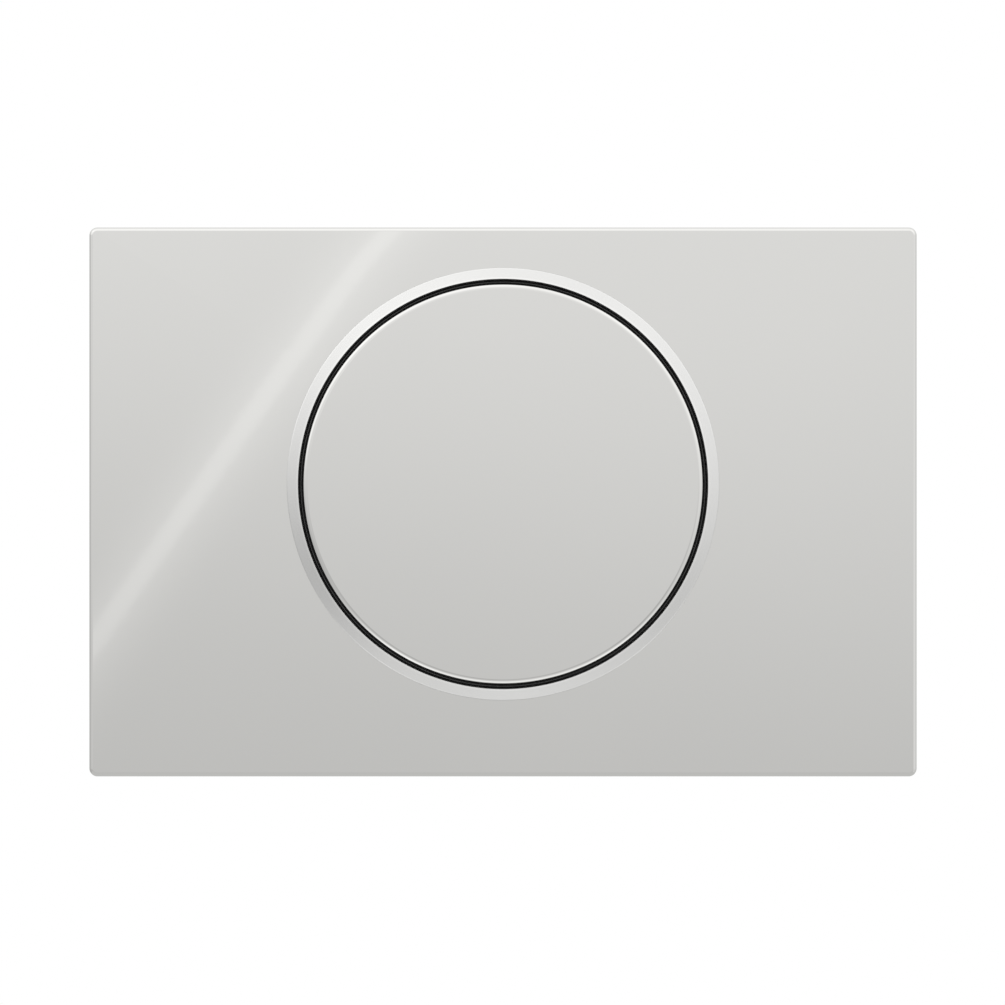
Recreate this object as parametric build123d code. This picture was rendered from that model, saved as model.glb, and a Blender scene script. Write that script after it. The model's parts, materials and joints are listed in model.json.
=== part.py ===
"""Flush plate with one round button, for a cistern built into the wall.

Drawn in wall coordinates: x to the right, y up, z out of the wall towards the room, zero on the finished
wall behind the middle of the plate. Every piece is turned at the end so that Z is up and the front faces -Y.
All sizes are in millimetres, all angles in degrees.
"""

import os
from math import radians, sqrt, tan

from build123d import *

# Cover plate
PLATE_WIDTH = 246.0
PLATE_HEIGHT = 163.2
PLATE_FACE = 10.7  # face of the plate above the wall
PLATE_CORNER = 2.4
PLATE_EDGE = 1.2
PLATE_WALL = 2.4
SKIRT_WALL = 2.2
SKIRT_GAP = 0.4  # the skirt stays this far off the wall

# Round button, the ring about it and the gap between them
BUTTON_RADIUS = 59.15
BUTTON_RISE = 5.3  # centre of the button above the centre of the plate
BUTTON_PROUD = 0.5  # face of the button above the top of the ring
BUTTON_BEVEL = 0.8
BUTTON_BEVEL_DEPTH = 0.65
BUTTON_EDGE = 0.8
BUTTON_CORNER = 0.1
CAP_WALL = 2.2
CAP_RIM = 1.8
BUTTON_GAP = 1.65
RING_WIDTH = 3.4
RING_RISE = 1.8  # top of the ring above the plate's face
RING_LIP = 0.2
RING_STEP = 0.2
RING_STEP_EDGE = 0.15
RING_FLANGE = 1.6
RING_FLANGE_WALL = 1.0

# Button housing
HOUSING_SETBACK = 0.15
HOUSING_LIP = 1.5
HOUSING_WALL = 1.5
HOUSING_SKIRT = 7.6
HOUSING_RIM = 1.5
HOUSING_FLAT = 0.5  # room between the rim's flats and the skirt
EAR_RADIUS = 4.4
EAR_WALL = 2.0
EAR_ANGLES = (0.0, 40.0, 140.0, 180.0, 220.0, 320.0)

# Rocker that carries the cap
ROCKER_OVERLAP = 1.7
ROCKER_ROOM = 0.7
ROCKER_WALL = 2.0
SPIGOT_WALL = 2.0
SPIGOT_HEIGHT = 2.0
RIB_WALL = 2.0
RIB_HEIGHT = 2.6
RIB_RING = 11.0  # ring rib inside the rocker's rim
PAD_RADIUS = 8.0
PAD_HEIGHT = 3.4
CAP_SCREW_INSET = 15.0
CAP_SCREW_ANGLES = (0.0, 90.0, 180.0, 270.0)

# Hinge
HINGE_DEPTH = 3.4  # axis behind the rocker's back
HINGE_ROOM = 0.5  # between the clips and the housing's wall
SHAFT_RADIUS = 1.5
KNUCKLE_RADIUS = 3.2
KNUCKLE_X = 18.0
KNUCKLE_WIDTH = 6.0
KNUCKLE_ROOM = 0.4
LUG_WIDTH = 3.0
LUG_ROOM = 0.5
CLIP_RADIUS = 3.0
CLIP_WALL = 0.8
CLIP_GROOVE = 0.5
SHAFT_END = 1.2
PRESS_ANGLE = 3.5

# Rubber buffers
REST_BUFFER = 0.8
REST_BUFFER_INSET = 0.2
REST_BUFFER_ANGLE = 30.0  # to each side of the lowest point
REST_BUFFER_SWEEP = 30.0
LOWEST = 270.0  # direction of the lowest point on a circle
STOP_X = 12.0
STOP_RADIUS = 4.0
STOP_PAD_RADIUS = 5.0
STOP_EDGE = 0.8
STOP_BEAD = 3.0
STOP_BEAD_RADIUS = 2.4
STOP_STEM_RADIUS = 1.5
STOP_GAP = 0.3

# Push rods, their springs, adjusters and tips
ROD_X = 30.0
ROD_DROP = 17.3  # rods below the centre of the button
ROD_RADIUS = 3.0
ROD_GAP = 0.3
ROD_HEAD_RADIUS = 6.0
ROD_HEAD = 2.8
ROD_DOME = 14.0
ROD_REACH = 56.0  # end of the rod behind the wall
SPRING_LENGTH = 10.4
SPRING_RADIUS = 4.6
SPRING_WIRE = 0.45
SPRING_TURNS = 5
SPRING_SEAT = 0.1
ADJUSTER_RADIUS = 5.0
ADJUSTER_LENGTH = 22.0
ADJUSTER_CAP = 5.0
ADJUSTER_ROOM = 1.0
ADJUSTER_EDGE = 0.8
GRIP_COUNT = 16
GRIP_RADIUS = 0.6
TIP_RADIUS = 4.5
TIP_LENGTH = 6.0
TIP_EDGE = 2.0
STUB_RADIUS = 2.5
STUB_LENGTH = 3.0

# Guide bushes
BUSH_WALL = 1.5
BUSH_FLANGE = 1.0
BUSH_FLANGE_RADIUS = 6.5
BUSH_LENGTH = 6.0

# Fixing frame
FRAME_GAP = 2.9
FRAME_CORNER = 4.0
FRAME_WALL = 5.5
FRAME_ROOM = 1.0
WINDOW_HEIGHT = 110.0
WINDOW_SIDE = 12.4
WINDOW_CORNER = 2.0
LEG_WALL = 4.0
BRIDGE_HALF = 9.0
BRIDGE_WALL = 4.0
BRIDGE_FLANGE = 5.0
BRIDGE_FLANGE_WALL = 2.0
POCKET_WIDTH = 22.0
POCKET_HEIGHT = 20.0
POCKET_DROP = 36.0  # lightening recesses above and below the stud
POCKET_DEPTH = 3.0
POCKET_CORNER = 3.0

# Studs and knobs that hold the frame
STUD_RADIUS = 3.0
STUD_REACH = 66.0
STUD_NECK = 2.4
STUD_CHAMFER = 0.8
KNOB_RADIUS = 8.5
KNOB_HEIGHT = 4.0
KNOB_EDGE = 0.6
KNOB_NECK = 3.5
KNOB_NECK_LENGTH = 6.8
KNOB_COVER = 1.0
KNOB_SLOT = 1.4
KNOB_SLOT_DEPTH = 0.6
RECESS_RADIUS = 11.0
RECESS_WALL = 2.6
SLOT_LENGTH = 14.0

# Snap hooks between frame and cover
HOOK_X = 70.0
HOOK_WIDTH = 14.0
HOOK_WALL = 2.0
HOOK_TIP_GAP = 0.8
HOOK_GAP = 0.4
LEDGE_WALL = 2.0
LEDGE_RISE = 2.2
LATCH_SLOT = 1.5
LATCH_ROOT = 7.0  # left between the tongue and the window

# Support ribs inside the cover
SUPPORT_INSET = 3.0
SUPPORT_LENGTH = 100.0
SUPPORT_WALL = 1.6

# Screws and fits
SCREW_RADIUS = 1.5
SCREW_HEAD_RADIUS = 2.8
SCREW_HEAD = 1.8
SCREW_EDGE = 0.5
SCREW_SLOT = 0.8
SCREW_SLOT_DEPTH = 0.7
BOSS_WALL = 1.8
BOSS_FLOOR = 1.2
SCREW_TIP_GAP = 0.4
PRESS_FIT = 0.05
RUNNING_FIT = 0.05
SCREW_FIT = 0.3

# Depths, from the face back to the wall and behind it
inner_z = PLATE_FACE - PLATE_WALL
ring_top = PLATE_FACE + RING_RISE
button_z = ring_top + BUTTON_PROUD
ring_back = inner_z - RING_FLANGE_WALL
housing_back = ring_back - HOUSING_LIP
rocker_front = housing_back - REST_BUFFER
rocker_back = rocker_front - ROCKER_WALL
ear_back = housing_back - EAR_WALL
hinge_z = rocker_back - HINGE_DEPTH
pad_z = rocker_back - PAD_HEIGHT
rod_front = pad_z - ROD_GAP
rod_head_back = rod_front - ROD_HEAD
bush_front = rod_head_back - SPRING_LENGTH
bridge_front = bush_front - BUSH_FLANGE
bridge_back = bridge_front - BRIDGE_WALL
adjuster_back = -ROD_REACH - ADJUSTER_CAP - ADJUSTER_ROOM
cap_floor = button_z - CAP_WALL

# Radii about the button's axis
ring_bore = BUTTON_RADIUS + BUTTON_GAP
ring_outer = ring_bore + RING_WIDTH
ring_flange = ring_outer + RING_FLANGE
housing_bore = ring_bore + HOUSING_SETBACK
rocker_radius = ring_bore + ROCKER_OVERLAP
wall_inner = rocker_radius + ROCKER_ROOM
wall_outer = wall_inner + HOUSING_WALL
rim_inner = ring_flange + PRESS_FIT
rim_outer = rim_inner + HOUSING_RIM
ear_circle = rim_outer + EAR_RADIUS
window_radius = wall_outer + FRAME_ROOM
cap_bore = BUTTON_RADIUS - CAP_RIM
spigot_radius = cap_bore - PRESS_FIT

# Places across the plate
clip_x = KNUCKLE_X + KNUCKLE_WIDTH / 2 + KNUCKLE_ROOM + LUG_WIDTH + PRESS_FIT
hinge_y = BUTTON_RISE + sqrt(wall_inner**2 - (clip_x + CLIP_WALL)**2) - CLIP_RADIUS - HINGE_ROOM
rod_y = BUTTON_RISE - ROD_DROP
lever = hinge_y - rod_y
rod_travel = lever * radians(PRESS_ANGLE)
frame_half_x = PLATE_WIDTH / 2 - SKIRT_WALL - FRAME_GAP
frame_half_y = PLATE_HEIGHT / 2 - SKIRT_WALL - FRAME_GAP
skirt_half_y = PLATE_HEIGHT / 2 - SKIRT_WALL
window_half_x = window_radius + WINDOW_SIDE
window_top = BUTTON_RISE + WINDOW_HEIGHT / 2
stud_x = (window_half_x + frame_half_x) / 2
stop_z = pad_z - rod_travel - STOP_PAD_RADIUS * tan(radians(PRESS_ANGLE)) - STOP_GAP
screw_hole = SCREW_RADIUS + PRESS_FIT
boss_radius = screw_hole + BOSS_WALL


def disc(radius, back, front, x=0.0, y=0.0):
    """Cylinder along z between two depths."""
    base = (Align.CENTER, Align.CENTER, Align.MIN)
    return Pos(x, y, back) * Cylinder(radius, front - back, align=base)


def tube(inner, outer, back, front, x=0.0, y=0.0):
    """Hollow cylinder along z between two depths."""
    return disc(outer, back, front, x, y) - disc(inner, back, front, x, y)


def block(left, right, low, high, back, front):
    """Box given by its bounds."""
    corner = (Align.MIN, Align.MIN, Align.MIN)
    return Pos(left, low, back) * Box(right - left, high - low, front - back, align=corner)


def plate(sketch, back, front):
    """Outline seen from the front, filled between two depths."""
    return extrude(Pos(0, 0, back) * sketch, front - back)


def turned(points, rounds=(), x=0.0, y=0.0):
    """Profile of (radius, depth) points turned about an axis along z, with some of its corners rounded."""
    face = Sketch() + make_face(Polyline(*points, close=True))
    for point, radius in rounds:
        corner = face.vertices().sort_by_distance((*point, 0))[0]
        face = fillet(corner, radius)
    return Pos(x, y, 0) * revolve(Plane.XZ * face, Axis.Z)


def on_circle(radius, angles):
    """Points on a circle about the button's axis."""
    return [Vector(0, BUTTON_RISE) + Vector(radius, 0).rotate(Axis.Z, angle) for angle in angles]


def screw(x, y, seat, tip):
    """Pan head screw: head behind its seat, shank forward to the tip, cross recess in the head."""
    head_back = seat - SCREW_HEAD
    points = [(0, head_back), (SCREW_HEAD_RADIUS, head_back), (SCREW_HEAD_RADIUS, seat)]
    points += [(SCREW_RADIUS, seat), (SCREW_RADIUS, tip), (0, tip)]
    body = turned(points, [((SCREW_HEAD_RADIUS, head_back), SCREW_EDGE)], x, y)
    floor = head_back + SCREW_SLOT_DEPTH
    for wide, high in ((SCREW_RADIUS, SCREW_SLOT / 2), (SCREW_SLOT / 2, SCREW_RADIUS)):
        body -= block(x - wide, x + wide, y - high, y + high, head_back, floor)
    return body


def make_cover_plate():
    """Gloss shell with the round opening, screw bosses, support ribs and ledges for the snap hooks."""
    body = plate(RectangleRounded(PLATE_WIDTH, PLATE_HEIGHT, PLATE_CORNER), SKIRT_GAP, PLATE_FACE)
    body = fillet(body.faces().sort_by(Axis.Z)[-1].edges(), PLATE_EDGE)
    inside = Rectangle(PLATE_WIDTH - 2 * SKIRT_WALL, PLATE_HEIGHT - 2 * SKIRT_WALL)
    body -= plate(inside, SKIRT_GAP, inner_z)
    body -= disc(ring_outer + PRESS_FIT, inner_z, PLATE_FACE, 0, BUTTON_RISE)
    for spot in on_circle(ear_circle, EAR_ANGLES):
        body += disc(boss_radius, housing_back, inner_z, spot.X, spot.Y)
        body -= disc(screw_hole, housing_back, PLATE_FACE - BOSS_FLOOR, spot.X, spot.Y)
    for side in (-1, 1):
        middle = side * (frame_half_x - SUPPORT_INSET)
        half = SUPPORT_WALL / 2
        body += block(middle - half, middle + half, -SUPPORT_LENGTH / 2, SUPPORT_LENGTH / 2, FRAME_WALL, inner_z)
        left = side * HOOK_X - HOOK_WIDTH / 2
        ledge_front = FRAME_WALL - HOOK_WALL - HOOK_GAP
        for edge in (-skirt_half_y, skirt_half_y - LEDGE_RISE):
            body += block(left, left + HOOK_WIDTH, edge, edge + LEDGE_RISE, ledge_front - LEDGE_WALL, ledge_front)
    return body


def make_design_ring():
    """Satin ring: a cone that rises from the plate's face to a rounded lip, held by a flange behind."""
    lip = (ring_bore, ring_top)
    step = (ring_outer, PLATE_FACE + RING_STEP)
    points = [(ring_bore, ring_back), lip, step, (ring_outer, inner_z)]
    points += [(ring_flange, inner_z), (ring_flange, ring_back)]
    return turned(points, [(lip, RING_LIP), (step, RING_STEP_EDGE)], 0, BUTTON_RISE)


def hinge_lug(x, width, radius):
    """Rounded plate about the hinge axis, reaching up to the housing's wall."""
    side = Pos(hinge_y, hinge_z) * Circle(radius)
    reach = BUTTON_RISE + wall_outer - hinge_y
    side += Pos(hinge_y + reach / 2, hinge_z) * Rectangle(reach, 2 * radius)
    across = Plane(origin=(x - width / 2, 0, 0), x_dir=(0, 1, 0), z_dir=(1, 0, 0))
    return extrude(across * side, width)


def along_hinge(radius, left, right):
    """Cylinder on the hinge axis."""
    across = Plane(origin=(left, hinge_y, hinge_z), x_dir=(0, 1, 0), z_dir=(1, 0, 0))
    return extrude(across * Circle(radius), right - left)


def lug_places():
    """Middles of the four lugs, one on each side of both knuckles."""
    reach = KNUCKLE_WIDTH / 2 + KNUCKLE_ROOM + LUG_WIDTH / 2
    return [side * (KNUCKLE_X + shift) for side in (-1, 1) for shift in (-reach, reach)]


def make_button_housing():
    """Ring behind the plate that clamps the design ring and carries the hinge."""
    body = tube(housing_bore, rim_outer, housing_back, ring_back, 0, BUTTON_RISE)
    body += tube(rim_inner, rim_outer, housing_back, inner_z, 0, BUTTON_RISE)
    flat = skirt_half_y - HOUSING_FLAT
    body &= block(-rim_outer, rim_outer, -flat, flat, housing_back, inner_z)
    body += tube(wall_inner, wall_outer, housing_back - HOUSING_SKIRT, housing_back, 0, BUTTON_RISE)
    for angle, spot in zip(EAR_ANGLES, on_circle(ear_circle, EAR_ANGLES)):
        web = Pos(0, BUTTON_RISE) * Rot(0, 0, angle) * Pos((wall_inner + ear_circle) / 2, 0)
        web *= Rectangle(ear_circle - wall_inner, 2 * EAR_RADIUS)
        ear = plate(web, ear_back, housing_back) - disc(wall_outer, ear_back, housing_back, 0, BUTTON_RISE)
        ear += disc(EAR_RADIUS, ear_back, housing_back, spot.X, spot.Y)
        body += ear - disc(SCREW_RADIUS + SCREW_FIT, ear_back, housing_back, spot.X, spot.Y)
    lug_radius = HINGE_DEPTH - LUG_ROOM
    keep = disc(wall_outer, hinge_z - lug_radius, hinge_z + lug_radius, 0, BUTTON_RISE)
    for x in lug_places():
        body += hinge_lug(x, LUG_WIDTH, lug_radius) & keep
    end = KNUCKLE_X + KNUCKLE_WIDTH + LUG_WIDTH
    return body - along_hinge(SHAFT_RADIUS + PRESS_FIT, -end, end)


def make_housing_screws():
    """Six screws through the housing's ears into the cover's bosses."""
    tip = PLATE_FACE - BOSS_FLOOR - SCREW_TIP_GAP
    return [screw(spot.X, spot.Y, ear_back, tip) for spot in on_circle(ear_circle, EAR_ANGLES)]


def make_button_cap():
    """Gloss round cap with a soft bevelled edge, a rim and four screw bosses inside."""
    low = (BUTTON_RADIUS, button_z - BUTTON_BEVEL_DEPTH)
    high = (BUTTON_RADIUS - BUTTON_BEVEL, button_z)
    points = [(0, cap_floor), (cap_bore, cap_floor), (cap_bore, rocker_front)]
    points += [(BUTTON_RADIUS, rocker_front), low, high, (0, button_z)]
    body = turned(points, [(high, BUTTON_EDGE), (low, BUTTON_CORNER)], 0, BUTTON_RISE)
    for spot in on_circle(BUTTON_RADIUS - CAP_SCREW_INSET, CAP_SCREW_ANGLES):
        body += tube(screw_hole, boss_radius, rocker_front, cap_floor, spot.X, spot.Y)
    return body


def make_button_rocker():
    """Dark carrier behind the cap: round web with ribs, pads for rods and stops, and two hinge knuckles."""
    body = disc(rocker_radius, rocker_back, rocker_front, 0, BUTTON_RISE)
    spigot_front = rocker_front + SPIGOT_HEIGHT
    body += tube(spigot_radius - SPIGOT_WALL, spigot_radius, rocker_front, spigot_front, 0, BUTTON_RISE)
    rib_back = rocker_back - RIB_HEIGHT
    rib_radius = rocker_radius - RIB_RING
    body += tube(rib_radius - RIB_WALL, rib_radius, rib_back, rocker_back, 0, BUTTON_RISE)
    half = RIB_WALL / 2
    inside = disc(rib_radius, rib_back, rocker_back, 0, BUTTON_RISE)
    low, high = BUTTON_RISE - rib_radius, BUTTON_RISE + rib_radius
    ribs = block(-rib_radius, rib_radius, rod_y - half, rod_y + half, rib_back, rocker_back)
    for side in (-1, 1):
        ribs += block(side * ROD_X - half, side * ROD_X + half, low, high, rib_back, rocker_back)
    body += ribs & inside
    for side in (-1, 1):
        body += disc(PAD_RADIUS, pad_z, rocker_back, side * ROD_X, rod_y)
        body += disc(STOP_PAD_RADIUS, pad_z, rocker_back, side * STOP_X, rod_y)
        left = side * KNUCKLE_X - KNUCKLE_WIDTH / 2
        right = left + KNUCKLE_WIDTH
        foot = block(left, right, hinge_y - KNUCKLE_RADIUS, hinge_y + KNUCKLE_RADIUS, hinge_z, rocker_back)
        body += foot + along_hinge(KNUCKLE_RADIUS, left, right)
    for spot in on_circle(BUTTON_RADIUS - CAP_SCREW_INSET, CAP_SCREW_ANGLES):
        body -= disc(SCREW_RADIUS + SCREW_FIT, rocker_back, rocker_front, spot.X, spot.Y)
    end = KNUCKLE_X + KNUCKLE_WIDTH
    return body - along_hinge(SHAFT_RADIUS + RUNNING_FIT, -end, end)


def make_cap_screws():
    """Four screws that hold the cap on the rocker."""
    places = on_circle(BUTTON_RADIUS - CAP_SCREW_INSET, CAP_SCREW_ANGLES)
    return [screw(spot.X, spot.Y, rocker_back, cap_floor - SCREW_TIP_GAP) for spot in places]


def make_hinge_shaft():
    """Steel shaft with a groove for a clip near each end."""
    end = clip_x + CLIP_WALL + SHAFT_END
    body = along_hinge(SHAFT_RADIUS, -end, end)
    for left in (clip_x, -clip_x - CLIP_WALL):
        groove = along_hinge(SHAFT_RADIUS, left, left + CLIP_WALL)
        body -= groove - along_hinge(SHAFT_RADIUS - CLIP_GROOVE, left, left + CLIP_WALL)
    return body


def make_shaft_clips():
    """Two spring clips that sit in the shaft's grooves, each open on one side."""
    throat = SHAFT_RADIUS - CLIP_GROOVE + PRESS_FIT
    clips = []
    for left in (clip_x, -clip_x - CLIP_WALL):
        clip = along_hinge(CLIP_RADIUS, left, left + CLIP_WALL) - along_hinge(throat, left, left + CLIP_WALL)
        mouth = block(left, left + CLIP_WALL, hinge_y - throat, hinge_y + throat, hinge_z - CLIP_RADIUS, hinge_z)
        clips.append(clip - mouth)
    return clips


def make_rest_buffer(side):
    """Rubber strip under the housing's lip, where the rocker comes to rest."""
    start = LOWEST + side * REST_BUFFER_ANGLE - REST_BUFFER_SWEEP / 2
    inner = housing_bore + REST_BUFFER_INSET
    outer = rocker_radius - REST_BUFFER_INSET
    strip = Sketch() + make_face(Polyline((inner, rocker_front), (outer, rocker_front), (outer, housing_back),
                                          (inner, housing_back), close=True))
    return Pos(0, BUTTON_RISE, 0) * Rot(0, 0, start) * revolve(Plane.XZ * strip, Axis.Z, REST_BUFFER_SWEEP)


def make_fixing_frame():
    """Frame on the wall: window, stud slots, snap hooks and a set-back bridge for the push rods."""
    outline = RectangleRounded(2 * frame_half_x, 2 * frame_half_y, FRAME_CORNER)
    window = Pos(0, BUTTON_RISE) * (RectangleRounded(2 * window_half_x, WINDOW_HEIGHT, WINDOW_CORNER)
                                    + Circle(window_radius))
    body = plate(outline - window, 0, FRAME_WALL)
    pocket = RectangleRounded(POCKET_WIDTH, POCKET_HEIGHT, POCKET_CORNER)
    for side in (-1, 1):
        for y in (-POCKET_DROP, POCKET_DROP):
            body -= plate(Pos(side * stud_x, y) * pocket, 0, POCKET_DEPTH)
        body -= disc(RECESS_RADIUS, RECESS_WALL, FRAME_WALL, side * stud_x, 0)
        slot = Pos(side * stud_x, 0) * SlotOverall(SLOT_LENGTH, 2 * (KNOB_NECK + SCREW_FIT))
        body -= plate(slot, 0, RECESS_WALL)
        body = add_hooks(body, side)
    low, high = rod_y - BRIDGE_HALF, rod_y + BRIDGE_HALF
    reach = window_half_x + LEG_WALL
    for left in (-reach, window_half_x):
        body += block(left, left + LEG_WALL, low, high, bridge_back, FRAME_WALL)
    body += block(-reach, reach, low, high, bridge_back, bridge_front)
    for edge in (low, high - BRIDGE_FLANGE_WALL):
        body += block(-reach, reach, edge, edge + BRIDGE_FLANGE_WALL, bridge_back - BRIDGE_FLANGE, bridge_back)
    for side in (-1, 1):
        body -= disc(ROD_RADIUS + RUNNING_FIT + BUSH_WALL + PRESS_FIT, bridge_back, bridge_front, side * ROD_X, rod_y)
        body -= disc(STOP_STEM_RADIUS + PRESS_FIT, bridge_back, bridge_front, side * STOP_X, rod_y)
    return body


def add_hooks(body, side):
    """Fixed hook at the foot of the frame and a slotted latch tongue at its head, on one side."""
    left = side * HOOK_X - HOOK_WIDTH / 2
    right = left + HOOK_WIDTH
    reach = skirt_half_y - HOOK_TIP_GAP
    back = FRAME_WALL - HOOK_WALL
    body += block(left, right, -reach, -frame_half_y, back, FRAME_WALL)
    body += block(left, right, frame_half_y, reach, back, FRAME_WALL)
    for edge in (left - LATCH_SLOT, right):
        body -= block(edge, edge + LATCH_SLOT, window_top + LATCH_ROOT, frame_half_y, 0, FRAME_WALL)
    return body


def make_guide_bush(side):
    """Flanged bush that guides a push rod in the bridge."""
    x = side * ROD_X
    bore = ROD_RADIUS + RUNNING_FIT
    body = tube(bore, bore + BUSH_WALL, bridge_front - BUSH_LENGTH, bridge_front, x, rod_y)
    return body + tube(bore, BUSH_FLANGE_RADIUS, bridge_front, bush_front, x, rod_y)


def make_stop_buffer(side):
    """Rubber buffer that stands on the bridge, with a stem through it and a bead behind."""
    bead = bridge_back - STOP_BEAD
    rim = (STOP_RADIUS, stop_z)
    points = [(0, stop_z), rim, (STOP_RADIUS, bridge_front), (STOP_STEM_RADIUS, bridge_front)]
    points += [(STOP_STEM_RADIUS, bridge_back), (STOP_BEAD_RADIUS, bridge_back), (STOP_STEM_RADIUS, bead), (0, bead)]
    return turned(points, [(rim, STOP_EDGE)], side * STOP_X, rod_y)


def make_fixing_stud(side):
    """Steel stud: a plain neck inside the knob and a stud that screws in behind the wall."""
    shoulder = RECESS_WALL - KNOB_NECK_LENGTH
    head = RECESS_WALL + KNOB_HEIGHT - KNOB_COVER
    points = [(0, -STUD_REACH), (STUD_RADIUS - STUD_CHAMFER, -STUD_REACH)]
    points += [(STUD_RADIUS, STUD_CHAMFER - STUD_REACH), (STUD_RADIUS, shoulder)]
    points += [(STUD_NECK, shoulder), (STUD_NECK, head), (0, head)]
    return turned(points, (), side * stud_x, 0)


def make_stud_knob(side):
    """Moulded knob on the stud: grip head in the frame's recess and a neck through its slot."""
    x = side * stud_x
    shoulder = RECESS_WALL - KNOB_NECK_LENGTH
    front = RECESS_WALL + KNOB_HEIGHT
    hole = STUD_NECK + PRESS_FIT
    floor = front - KNOB_COVER
    rim = (KNOB_RADIUS, front)
    points = [(hole, shoulder), (KNOB_NECK, shoulder), (KNOB_NECK, RECESS_WALL), (KNOB_RADIUS, RECESS_WALL)]
    points += [rim, (0, front), (0, floor), (hole, floor)]
    body = turned(points, [(rim, KNOB_EDGE)], x, 0)
    for spot in PolarLocations(KNOB_RADIUS, GRIP_COUNT):
        body -= Pos(x, 0, 0) * spot * disc(GRIP_RADIUS, RECESS_WALL, front)
    half = KNOB_SLOT / 2
    return body - block(x - KNOB_NECK, x + KNOB_NECK, -half, half, front - KNOB_SLOT_DEPTH, front)


def make_push_rod(side):
    """Rod with a domed head that the rocker presses on."""
    x = side * ROD_X
    dome_centre = rod_front - ROD_DOME
    rim = dome_centre + sqrt(ROD_DOME**2 - ROD_HEAD_RADIUS**2)
    arc = RadiusArc((0, rod_front), (ROD_HEAD_RADIUS, rim), ROD_DOME)
    line = Polyline((ROD_HEAD_RADIUS, rim), (ROD_HEAD_RADIUS, rod_head_back), (ROD_RADIUS, rod_head_back),
                    (ROD_RADIUS, -ROD_REACH), (0, -ROD_REACH), (0, rod_front))
    face = make_face([arc, line])
    return Pos(x, rod_y, 0) * revolve(Plane.XZ * face, Axis.Z)


def make_return_spring(side):
    """Coil spring between the rod's head and the bush."""
    inset = SPRING_WIRE + SPRING_SEAT
    length = SPRING_LENGTH - 2 * inset
    path = Helix(length / SPRING_TURNS, length, SPRING_RADIUS)
    wire = Plane(path @ 0, z_dir=path % 0) * Circle(SPRING_WIRE)
    coil = sweep(wire, path=path, is_frenet=True)
    return Pos(side * ROD_X, rod_y, bush_front + inset) * coil


def make_rod_adjuster(side):
    """Screwed sleeve with grip flutes that sets the rod's length."""
    x = side * ROD_X
    front = adjuster_back + ADJUSTER_LENGTH
    bore = ROD_RADIUS + PRESS_FIT
    floor = adjuster_back + ADJUSTER_CAP
    near, far = (ADJUSTER_RADIUS, front), (ADJUSTER_RADIUS, adjuster_back)
    points = [(0, floor), (bore, floor), (bore, front), near, far]
    points += [(STUB_RADIUS, adjuster_back), (STUB_RADIUS, adjuster_back - STUB_LENGTH)]
    points += [(0, adjuster_back - STUB_LENGTH)]
    body = turned(points, [(near, ADJUSTER_EDGE), (far, ADJUSTER_EDGE)], x, rod_y)
    for spot in PolarLocations(ADJUSTER_RADIUS, GRIP_COUNT):
        body -= Pos(x, rod_y, 0) * spot * disc(GRIP_RADIUS, floor, front)
    return body


def make_rod_tip(side):
    """Rubber tip that meets the cistern's lever."""
    x = side * ROD_X
    end = adjuster_back - TIP_LENGTH
    hole = STUB_RADIUS + PRESS_FIT
    floor = adjuster_back - STUB_LENGTH - PRESS_FIT
    rim = (TIP_RADIUS, end)
    points = [(hole, adjuster_back), (TIP_RADIUS, adjuster_back), rim, (0, end), (0, floor), (hole, floor)]
    return turned(points, [(rim, TIP_EDGE)], x, rod_y)


def make_pieces():
    """Every piece by name."""
    pieces = {
        "cover_plate": make_cover_plate(),
        "design_ring": make_design_ring(),
        "button_housing": make_button_housing(),
        "housing_screws": make_housing_screws(),
        "hinge_shaft": make_hinge_shaft(),
        "shaft_clips": make_shaft_clips(),
        "button_cap": make_button_cap(),
        "button_rocker": make_button_rocker(),
        "cap_screws": make_cap_screws(),
        "fixing_frame": make_fixing_frame(),
    }
    paired = {
        "rest_buffer": make_rest_buffer,
        "guide_bush": make_guide_bush,
        "stop_buffer": make_stop_buffer,
        "fixing_stud": make_fixing_stud,
        "stud_knob": make_stud_knob,
        "push_rod": make_push_rod,
        "return_spring": make_return_spring,
        "rod_adjuster": make_rod_adjuster,
        "rod_tip": make_rod_tip,
    }
    for name, make in paired.items():
        pieces[name + "_left"] = make(-1)
        pieces[name + "_right"] = make(1)
    return pieces


def main():
    """Turn every piece to stand upright and write it out."""
    os.makedirs("parts", exist_ok=True)
    for name, shape in make_pieces().items():
        solids = ShapeList(shape).solids() if isinstance(shape, list) else shape.solids()
        piece = solids[0] if len(solids) == 1 else Compound(children=solids)
        export_step(Plane.XZ * piece, f"parts/{name}.step")


if __name__ == "__main__":
    main()
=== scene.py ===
# %% [markdown]
# # A flush plate with one round button
#
# This lesson dresses a wall plate for a cistern that is built into the wall. The shape and the motion
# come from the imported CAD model, which is loaded as a fixed frame. Blender adds what the eye needs:
# soft edges that catch the light, screw threads, wound springs, and a finish for every piece.
# Everything is in metres, with Z up, and the front of the plate faces -Y.

# %% Load the frame
import json
from math import cos, pi, radians, sin

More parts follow.
